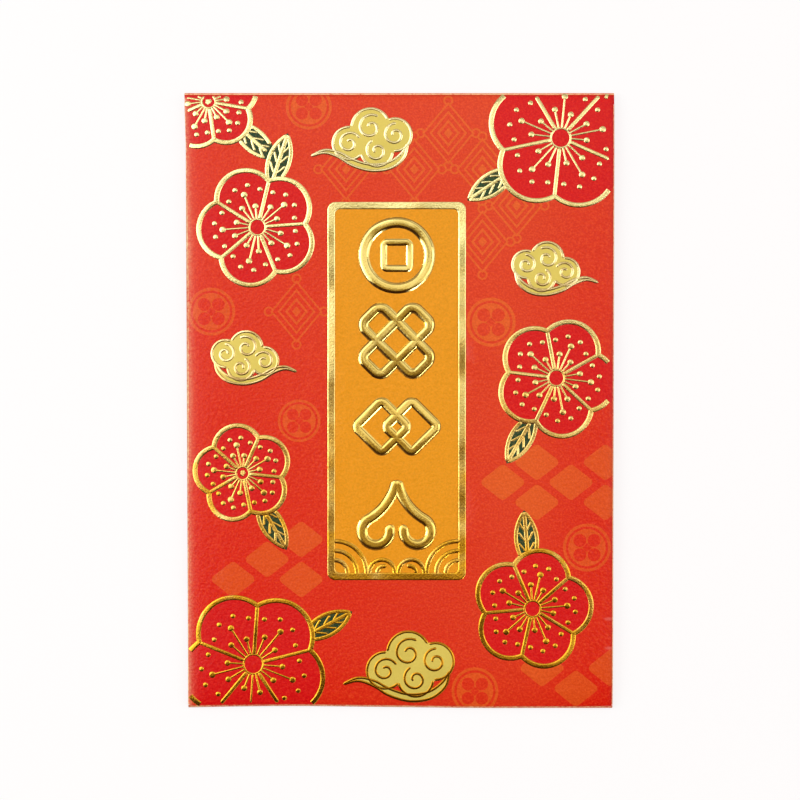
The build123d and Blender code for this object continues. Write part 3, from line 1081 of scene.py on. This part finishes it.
def blossomRuns(blossom, over):
    look = blossomLook
    outlines, partings, fine, dots = [], [], [], []
    centres = petalCentres(blossom)
    middle, radius = np.array(blossom["at"]), blossom["radius"]
    inset = petalRadius(blossom) - look["line"] / 2
    for number, centre in enumerate(centres):
        ring = ringPoints(*centre, inset, look["lineStep"])
        others = np.delete(centres, number, axis=0)
        gaps = np.linalg.norm(ring[:, None, :] - others[None], axis=2)
        shown = (gaps > inset - look["petalOverlap"]).all(axis=1) & isOpen(ring, over)
        outlines += shownRuns(ring, shown, True)
    reach = radius - petalRadius(blossom)
    half = math.pi / look["petals"]
    notch = reach * math.cos(half) + math.sqrt(inset ** 2 - (reach * math.sin(half)) ** 2)
    eye = stamenLook["eye"] * radius
    petalAngle = 360 // look["petals"]
    along = np.linspace(eye, notch, look["partingPoints"])[:, None]
    for turn in range(blossom["turn"], blossom["turn"] + 360, petalAngle):
        partings += openRuns(middle + along * heading(turn + petalAngle // 2), over)
        spots = []
        for angle, share, stretch, dot in stamenLook["filaments"]:
            end = radius * share * stretch
            direction = heading(turn + angle)
            outwards = np.linspace(eye, end, stamenLook["filamentPoints"])[:, None]
            fine += openRuns(middle + outwards * direction, over)
            spots.append((middle + direction * end, dot))
        for angle, share in stamenLook["seeds"]:
            spots.append((middle + radius * share * heading(turn + angle), stamenLook["seedDot"]))
        dots += [(*spot, dot) for spot, dot in spots if isOpen(spot[None], over)[0]]
    fine += openRuns(ringPoints(*middle, eye, stamenLook["eyeStep"]), over, True)
    leafRuns = []
    for paths in leafPaths():
        runs = []
        for path in paths:
            placed = leafPlaced(path, blossom)
            runs += shownRuns(placed, isOpen(placed, over) & ~inPetals(placed, blossom, -look["line"] / 2))
        leafRuns.append(runs)
    return outlines, partings, fine, *leafRuns, dots


def blossomFoil():
    look = blossomLook
    made = [blossomRuns(blossom, blossoms[:number]) for number, blossom in enumerate(blossoms)]
    joined = ([run for runs in kind for run in runs] for kind in zip(*made))
    outlines, partings, fine, leaves, veins, dots = joined
    lines = (
        (outlines, look["line"], look["lineHeight"], flatLine, False),
        (partings, look["parting"], look["partingHeight"], flatLine, True),
        (fine, stamenLook["line"], stamenLook["lineHeight"], fineLine, True),
        (leaves, look["leafLine"], look["leafLineHeight"], flatLine, True),
        (veins, look["vein"], look["veinHeight"], fineLine, True),
    )
    shapes = [sweepRuns(*line, goldFoil) for line in lines]
    shapes.append(dotShapes(dots, stamenLook["dotHeight"], goldFoil))
    return foilPiece("blossomFoil", [(shape, -look["bedded"], 0) for shape in shapes], [goldFoil])


blossomPiece = blossomFoil()
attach(blossomPiece, "pocket")
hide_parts(*[blossom["node"] for blossom in blossoms])
print("blossoms stamped:", len(blossomPiece.data.polygons), "faces")


# cloud plates with raised scroll lines; lobes, tails and reach are shares of a cloud's span
cloudLook = {
    "lobes": ((-0.24, -0.05, 0.165), (-0.04, 0.10, 0.19), (0.19, 0.03, 0.165), (0.02, -0.12, 0.16)),
    "tailAbove": ((-0.60, -0.17), (-0.47, -0.11), (-0.33, -0.13), (-0.20, -0.195),
                  (-0.04, -0.24), (0.12, -0.22), (0.24, -0.145), (0.31, -0.05)),
    "tailBelow": ((-0.60, -0.17), (-0.47, -0.145), (-0.34, -0.19), (-0.20, -0.275),
                  (-0.02, -0.32), (0.16, -0.29), (0.28, -0.185), (0.31, -0.05)),
    "lobePoints": 56,
    "reach": 0.75,              # half of the square that a plate is cut from
    "grid": 1.2,
    "relief": 0.1,
    "base": -0.01,
    "line": 0.5,
    "lineHeight": 0.07,
    "lineBedded": 0.005,
    "spiralTurn": (0.15 * math.pi, 2.75 * math.pi),
    "spiralShrink": (0.66, 0.13),
    "spiralLean": 0.5,          # each lobe's spiral starts this much further round
    "spiralPoints": 90,
    "tailInset": (0.86, 0.14),
}
clouds = (
    {"node": "cloud_top", "at": (-4.8, 49.09), "span": 20.0, "flip": 1},
    {"node": "cloud_right", "at": (26.8, 24.83), "span": 16.96, "flip": -1},
    {"node": "cloud_left", "at": (-29.6, 8.09), "span": 16.96, "flip": -1},
    {"node": "cloud_bottom", "at": (2.4, -49.67), "span": 22.0, "flip": 1},
)


# a smooth line through a few points
def smoothPath(points, steps=8):
    padded = np.vstack([2 * points[0] - points[1], points, 2 * points[-1] - points[-2]])
    path = []
    for a, b, c, d in zip(padded, padded[1:], padded[2:], padded[3:]):
        for t in np.arange(steps) / steps:
            path.append(0.5 * (2 * b + (c - a) * t + (2 * a - 5 * b + 4 * c - d) * t ** 2
                               + (3 * b - a - 3 * c + d) * t ** 3))
    return np.array(path + [points[-1]])


# a cloud's lobes, and the two edges of its tail
def cloudShape(cloud):
    x, y = cloud["at"]
    span, flip = cloud["span"], cloud["flip"]
    lobes = [(x + flip * px * span, y + py * span, r * span) for px, py, r in cloudLook["lobes"]]
    tail = [np.array(cloudLook[edge]) * (flip * span, span) + (x, y) for edge in ("tailAbove", "tailBelow")]
    return lobes, [smoothPath(edge) for edge in tail]


def tailPolygon(above, below):
    polygon = np.vstack([below[:-1], above[::-1][:-1]])
    shifted = np.roll(polygon, -1, axis=0)
    area = (polygon[:, 0] * shifted[:, 1] - polygon[:, 1] * shifted[:, 0]).sum()
    return polygon if area > 0 else polygon[::-1]


def cloudPlate(cloud):
    look = cloudLook
    lobes, tail = cloudShape(cloud)
    x, y = cloud["at"]
    reach = cloud["span"] * look["reach"]
    x0, x1, y0, y1 = x - reach, x + reach, y - reach, y + reach
    areas = [discArea(*lobe, look["lobePoints"], 1) for lobe in lobes] + [(tailPolygon(*tail).tolist(), 1)]
    spots = gridSpots(x0, x1, y0, y1, look["grid"])
    flat, triangles, kinds = cutSheet(rectangle(x0, y0, x1, y1), areas, [], spots)
    shown = isOpen(flat[np.array(triangles)].mean(axis=1), blossoms)
    kept = [t for t, kind, keep in zip(triangles, kinds, shown) if kind == 1 and keep]
    flat, kept = trimmed(flat, kept)
    top, base = (np.column_stack([flat, np.full(len(flat), look[level])]) for level in ("relief", "base"))
    return twoLayers(top, base, kept)


def cloudLines(cloud):
    look = cloudLook
    lobes, (above, below) = cloudShape(cloud)
    half = look["line"] / 2
    runs = []
    for number, (x, y, r) in enumerate(lobes):
        ring = ringPoints(x, y, r - half)
        shown = isOpen(ring, blossoms)
        for otherX, otherY, otherR in lobes[:number] + lobes[number + 1:]:
            shown &= np.linalg.norm(ring - (otherX, otherY), axis=1) > otherR - half
        runs += shownRuns(ring, shown, True)
        turn = np.linspace(*look["spiralTurn"], look["spiralPoints"]) + look["spiralLean"] * number
        shrink = np.linspace(*look["spiralShrink"], look["spiralPoints"]) * r
        spiral = np.stack([x + cloud["flip"] * shrink * np.cos(turn), y + shrink * np.sin(turn)], axis=1)
        runs += openRuns(spiral, blossoms)
    near, far = look["tailInset"]
    for path in (above * near + below * far, below * near + above * far):
        runs += openRuns(path, blossoms)
    return runs


def cloudPiece():
    look = cloudLook
    shapes = [(cloudPlate(cloud), 0.0, 0) for cloud in clouds]
    runs = [run for cloud in clouds for run in cloudLines(cloud)]
    scrolls = sweepRuns(runs, look["line"], look["lineHeight"], fineLine, True, scrollGold)
    shapes.append((scrolls, look["relief"] - look["lineBedded"], 1))
    return foilPiece("cloudPlates", shapes, [cloudGold, scrollGold])


cloudGroup = cloudPiece()
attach(cloudGroup, "pocket")
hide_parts(*[cloud["node"] for cloud in clouds])
print("clouds stamped:", len(cloudGroup.data.polygons), "faces")


# plaque frame: loops of a rounded rectangle, skinned
frameLook = {
    "corner": 1.5,
    "border": 1.45,
    "innerCorner": 0.9,
    "step": 2.5,
    "sharpAngle": 50,
    "profile": ((0.0, -0.01), (0.02, 0.04), (0.09, 0.09), (0.18, 0.115), (0.27, 0.12), (0.34, 0.12),
                (1.11, 0.12), (1.18, 0.12), (1.27, 0.115), (1.36, 0.09), (1.43, 0.04), (1.45, -0.01)),
}


def roundedLoop(low, high, radius, cornerSteps=8):
    corners = ((high[0], high[1], 0), (low[0], high[1], 1), (low[0], low[1], 2), (high[0], low[1], 3))
    points = []
    for x, y, quarter in corners:
        cx = x - radius if quarter in (0, 3) else x + radius
        cy = y - radius if quarter in (0, 1) else y + radius
        for step in range(cornerSteps + 1):
            turn = (quarter + step / cornerSteps) * math.pi / 2
            points.append((cx + radius * math.cos(turn), cy + radius * math.sin(turn)))
    return np.array(points)


# long straight sides get points of their own, so that the foil follows the card
def sideCounts(loop, step):
    return [max(int(np.linalg.norm(b - a) / step), 1) for a, b in zip(loop, np.roll(loop, -1, axis=0))]


def divided(loop, counts):
    points = []
    for start, end, count in zip(loop, np.roll(loop, -1, axis=0), counts):
        points += [start + (end - start) * k / count for k in range(count)]
    return np.array(points)


def plaqueFrame():
    look = frameLook
    low, high = plaqueLow[:2], plaqueHigh[:2]
    counts = sideCounts(roundedLoop(low, high, look["corner"]), look["step"])
    rings = []
    for inset, height in look["profile"]:
        share = inset / look["border"]
        radius = look["corner"] * (1 - share) + look["innerCorner"] * share
        loop = divided(roundedLoop(low + inset, high - inset, radius), counts)
        rings.append(np.column_stack([loop, np.full(len(loop), height)]))
    size = len(rings[0])
    faces = []
    for ring in range(len(rings)):
        following = (ring + 1) % len(rings)
        for i in range(size):
            j = (i + 1) % size
            faces.append([ring * size + i, ring * size + j, following * size + j, following * size + i])
    return foilPiece("plaqueFrame", [((np.vstack(rings), faces), 0.0, 0)], [goldFoil], look["sharpAngle"])


framePiece = plaqueFrame()
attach(framePiece, "pocket")
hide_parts("plaque_frame")


# waves at the plaque's foot
waveLook = {
    "line": 0.88,
    "height": 0.16,
    "bedded": 0.01,
    "radii": (5.9, 4.1, 2.3),
    "under": 0.15,              # how far the ends of the arcs lie under the frame
    "curl": 2.4,
    "curlUnder": 0.06,          # the same for the curls, in radians
    "curlStep": 0.15,
    "pitch": 5.5,
    "hook": 1.2,
    "hookAside": -0.35,
    "hookTurn": (-0.2, math.radians(115)),
    "hookStep": 0.1,
}


def waveLines():
    look = waveLook
    border = frameLook["border"]
    foot = plaqueLow[1] + border
    left, right = plaqueLow[0] + border, plaqueHigh[0] - border
    middle = (left + right) / 2
    arcs, hooks = [], []
    for radius in look["radii"]:
        under = look["under"] / radius
        arcs.append((arcPoints(left, foot, radius, -under, math.pi / 2 + under), False))
        arcs.append((arcPoints(right, foot, radius, math.pi / 2 - under, math.pi + under), False))
    under = look["curlUnder"]
    for side in (-1, 1):
        x = middle + side * look["pitch"] / 2
        arcs.append((arcPoints(x, foot, look["curl"], -under, math.pi + under, look["curlStep"]), False))
        hook = arcPoints(look["hookAside"], 0, look["hook"], *look["hookTurn"], look["hookStep"])
        hooks.append((hook * (side, 1) + (x, foot), False))
    shapes = [sweepRuns(runs, look["line"], look["height"], waveLine, roundEnds, goldFoil)
              for runs, roundEnds in ((arcs, False), (hooks, True))]
    return foilPiece("waveLines", [(shape, -look["bedded"], 0) for shape in shapes], [goldFoil])


wavePiece = waveLines()
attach(wavePiece, "pocket")
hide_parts("wave_left", "wave_right", "wave_curls")
print("plaque framed")


# embossed emblems: each is a set of strokes in its CAD node's cell, with sizes as shares of the cell
emblemLook = {
    "relief": 0.37,             # mm, of a full stroke
    "bedded": 0.02,
    "sharpAngle": 70,
    "arcStep": 0.3,             # mm between points on arcs, on straight sides and on the coin's square
    "sideStep": 0.6,
    "squareStep": 0.5,
    "stroke": 0.146,
    "coinRim": 0.097,
    "coinGap": 0.045,
    "knotBreadth": 0.514,
    "knotCorner": 0.18,
    "lozengeStroke": 0.132,
    "lozengeHeight": 0.875,
    "lozengeSpread": 0.194,
    "scrollRadius": 0.18,
    "scrollAside": 0.27,
    "scrollTurn": (150, 420),
}


def squareLoop(half, radius):
    return roundedLoop(np.array([-half, -half]), np.array([half, half]), radius, 6)


def refined(loop, step):
    return divided(loop, sideCounts(loop, step))


def coinRuns(cell):
    stroke = emblemLook["stroke"] * cell
    rim = emblemLook["coinRim"] * cell
    half = ((cell / 2 - stroke - emblemLook["coinGap"] * cell) * math.sqrt(2) - rim) / 2
    ring = ringPoints(0, 0, (cell - stroke) / 2, emblemLook["arcStep"])
    square = refined(squareLoop(half, rim / 2), emblemLook["squareStep"])
    return [([(ring, True)], stroke), ([(square, True)], rim)]


def knotRuns(cell):
    stroke = emblemLook["stroke"] * cell
    breadth, corner = emblemLook["knotBreadth"] * cell, emblemLook["knotCorner"] * cell
    length = 2 * ((cell / 2 - corner) * math.sqrt(2) + 2 * corner) - breadth
    half = np.array([length - stroke, breadth - stroke]) / 2
    loop = refined(roundedLoop(-half, half, corner - stroke / 2), emblemLook["sideStep"])
    return [([(turned(loop, 45), True), (turned(loop, -45), True)], stroke)]


def lozengeRuns(cell):
    stroke = emblemLook["lozengeStroke"] * cell
    half = (emblemLook["lozengeHeight"] * cell / math.sqrt(2) - stroke) / 2
    loop = turned(refined(squareLoop(half, stroke / 2), emblemLook["sideStep"]), 45)
    spread = emblemLook["lozengeSpread"] * cell
    return [([(loop - (spread, 0), True), (loop + (spread, 0), True)], stroke)]


# a scroll each side, and an arc from its end that meets the other side at the top
def ruyiRuns(cell):
    stroke = emblemLook["stroke"] * cell
    reach = (cell - stroke) / 2
    radius = emblemLook["scrollRadius"] * cell
    first, last = emblemLook["scrollTurn"]
    scroll = arcPoints(emblemLook["scrollAside"] * cell, radius - reach, radius,
                       math.radians(first), math.radians(last))
    start = scroll[-1]
    normal = -heading(last - 360)
    chord = np.array([0.0, reach]) - start
    bend = (chord @ chord) / (2 * (normal @ chord))
    middle = start + normal * bend
    a0 = math.atan2(start[1] - middle[1], start[0] - middle[0])
    a1 = math.atan2(reach - middle[1], -middle[0])
    a1 = a0 + (a1 - a0 + math.pi) % (2 * math.pi) - math.pi
    half = np.vstack([scroll[:-1], arcPoints(*middle, abs(bend), a0, a1, emblemLook["arcStep"])])
    return [([(half, False), (half * (-1, 1), False)], stroke)]


def emblem(name, node, drawing, heightShare=1.0):
    look = emblemLook
    low, high = boxOf(node)
    middle = (low[:2] + high[:2]) / 2
    cell = (high[1] - low[1]) / heightShare
    shapes = []
    for runs, stroke in drawing(cell):
        placed = [(points + middle, closed) for points, closed in runs]
        relief = look["relief"] * stroke / (look["stroke"] * cell)
        shape = sweepRuns(placed, stroke, relief, embossedLine, True, emblemFoil)
        shapes.append((shape, -look["bedded"], 0))
    piece = foilPiece(name, shapes, [emblemFoil], look["sharpAngle"])
    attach(piece, "pocket")
    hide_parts(node)
    return piece


emblems = [
    emblem("emblemCoin", "emblem_coin", coinRuns),
    emblem("emblemKnot", "emblem_knot", knotRuns),
    emblem("emblemLozenges", "emblem_lozenges", lozengeRuns, emblemLook["lozengeHeight"]),
    emblem("emblemRuyi", "emblem_ruyi", ruyiRuns),
]
print("emblems embossed")

# the glue films stay as the CAD has them
for node in ("side_seam_glue", "bottom_flap_glue"):
    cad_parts[node].data.materials.clear()
    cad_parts[node].data.materials.append(driedGlue)


# studio: pale floor, soft light, and the photograph's camera
studioLook = {
    "white": (1, 0.985, 0.99, 1),
    "floorHalf": 3.0,
    "floorDrop": 0.0001,
    "floorGlow": 0.82,              # the floor that the camera and reflections see
    "floorShade": (0.2, 0.2, 0.2, 1),   # and its part that takes shadows
    "floorBounce": (0.85, 0.85, 0.85, 1),
    "imageSize": 800,
    "pixelsPerMm": 5.316,
    "imageMiddle": (400.4, 399.5),
    "distance": 0.36,
    "softBoxes": {                  # place, size and power
        "keyBox": ((-0.53, 0.22, 0.61), (0.8, 0.8), 3.0),
        "fillBox": ((0.55, 0.0, 0.5), (0.4, 0.6), 1.35),
        "leftPanel": ((-0.72, -0.05, 0.58), (0.8, 0.4), 2.0),
    },
    "gleamStrips": {                # only for the frame, the waves and the emblems
        "leftStrip": ((-0.82, 0.0, 0.3), (0.9, 0.09), 2.4),
        "footStrip": ((0.57, -0.58, 0.3), (0.5, 0.08), 1.3),
    },
}
worldLook = {
    "strength": 1.1,
    "patchScale": 9.0,
    "patchShare": 1.1,
    "headShare": 0.75,
    "overheadMiddle": 0.49,
    "overhead": ((0.28, ink(66, 48, 20)), (0.38, ink(118, 92, 40)), (0.47, ink(188, 158, 82)),
                 (0.54, ink(238, 226, 180)), (0.60, ink(255, 252, 246))),
    "overheadFrom": (0.72, 0.95),   # heights between which the walls turn into what is overhead
    "walls": ((0.0, ink(48, 28, 14)), (0.5, ink(70, 46, 28)), (1.0, ink(190, 176, 160))),
    "rightBoard": (0.2, 0.5),       # white boards left and right, dark between them
    "leftBoard": (0.75, 0.93),
    "boardFoot": (0.14, 0.26),
    "boardHead": (0.42, 0.56),
    "skirting": (0.08, 0.24),
    "skirtingInk": ink(128, 100, 76),
}


def emptyTree(holder):
    holder.use_nodes = True
    holder.node_tree.nodes.clear()
    return Wire(holder.node_tree)


def studioFloor():
    look = studioLook
    half = look["floorHalf"]
    mesh = bpy.data.meshes.new("studioFloor")
    corners = [(x, y, -look["floorDrop"]) for x, y in rectangle(-half, -half, half, half)]
    mesh.from_pydata(corners, [], [[0, 1, 2, 3]])
    material = bpy.data.materials.new("paleFloor")
    wire = emptyTree(material)
    rays = ("Is Camera Ray", "Is Glossy Ray", "Is Transmission Ray")
    camera, glossy, through = (wire.node("ShaderNodeLightPath", output=ray) for ray in rays)
    seen = (camera + glossy + through).clamped()
    matte = wire.node("ShaderNodeBsdfDiffuse", inputs={"Color": look["floorShade"]})
    glow = wire.node("ShaderNodeEmission", inputs={"Color": look["white"], "Strength": look["floorGlow"]})
    lit = wire.node("ShaderNodeAddShader", inputs={0: matte, 1: glow})
    plain = wire.node("ShaderNodeBsdfDiffuse", inputs={"Color": look["floorBounce"]})
    chosen = wire.node("ShaderNodeMixShader", inputs={0: seen, 1: plain, 2: lit})
    connect(chosen, wire.tree.nodes.new("ShaderNodeOutputMaterial"), "Surface")
    mesh.materials.append(material)
    floor = bpy.data.objects.new("studioFloor", mesh)
    scene.collection.objects.link(floor)


# white for the camera; for the envelope bright towards its head, warm and dim above its foot
def studioWorld():
    look = worldLook
    world = bpy.data.worlds.new("studio")
    scene.world = world
    wire = emptyTree(world)
    direction = wire.node("ShaderNodeTexCoord", output=0)
    right, head, up = axesOf(wire, direction)
    patches = noise(wire, direction, look["patchScale"], 1)
    bright = (patches - 0.5) * look["patchShare"] + head * look["headShare"] + look["overheadMiddle"]
    overhead = wire.node("ShaderNodeValToRGB", {"stops": look["overhead"]}, {0: bright})
    walls = wire.node("ShaderNodeValToRGB", {"stops": look["walls"]}, {0: head * 0.5 + 0.5})
    colour = up.smooth(*look["overheadFrom"]).mix(walls, overhead)
    boards = (right.smooth(*look["rightBoard"]) + (right * -1.0).smooth(*look["leftBoard"])).clamped()
    boards = boards * (up.smooth(*look["boardFoot"]) - up.smooth(*look["boardHead"]))
    colour = boards.mix(colour, studioLook["white"])
    colour = up.smooth(*look["skirting"]).mix(look["skirtingInk"], colour)
    colour = wire.node("ShaderNodeLightPath", output="Is Camera Ray").mix(colour, studioLook["white"])
    back = wire.node("ShaderNodeBackground", inputs={"Color": colour, "Strength": look["strength"]})
    connect(back, wire.tree.nodes.new("ShaderNodeOutputWorld"), "Surface")


# a soft box that aims at the envelope, or at some pieces only
def softBox(name, place, size, power, onlyFor=()):
    lamp = bpy.data.lights.new(name, "AREA")
    lamp.shape = "RECTANGLE"
    lamp.size, lamp.size_y = size
    lamp.energy = power
    box = bpy.data.objects.new(name, lamp)
    box.location = place
    box.rotation_euler = (-Vector(place)).to_track_quat("-Z", "Y").to_euler()
    scene.collection.objects.link(box)
    if onlyFor:
        lit = bpy.data.collections.new(name + "Lights")
        for piece in onlyFor:
            lit.objects.link(piece)
        box.light_linking.receiver_collection = lit


def photoCamera():
    look = studioLook
    data = bpy.data.cameras.new("photoCamera")
    data.sensor_width = 36.0
    width = look["imageSize"] / look["pixelsPerMm"] * mm
    data.lens = look["distance"] / width * data.sensor_width
    data.clip_start = 0.01
    centre = look["imageSize"] / 2
    middleX, middleY = look["imageMiddle"]
    camera = bpy.data.objects.new("photoCamera", data)
    offset = Vector((centre - middleX, middleY - centre, 0)) / look["pixelsPerMm"] * mm
    camera.location = offset + Vector((0, 0, look["distance"] + blank["front"] * mm))
    scene.collection.objects.link(camera)
    scene.camera = camera


studioFloor()
studioWorld()
for name, settings in studioLook["softBoxes"].items():
    softBox(name, *settings)
for name, settings in studioLook["gleamStrips"].items():
    softBox(name, *settings, [framePiece, wavePiece, *emblems])
photoCamera()
print("studio set")
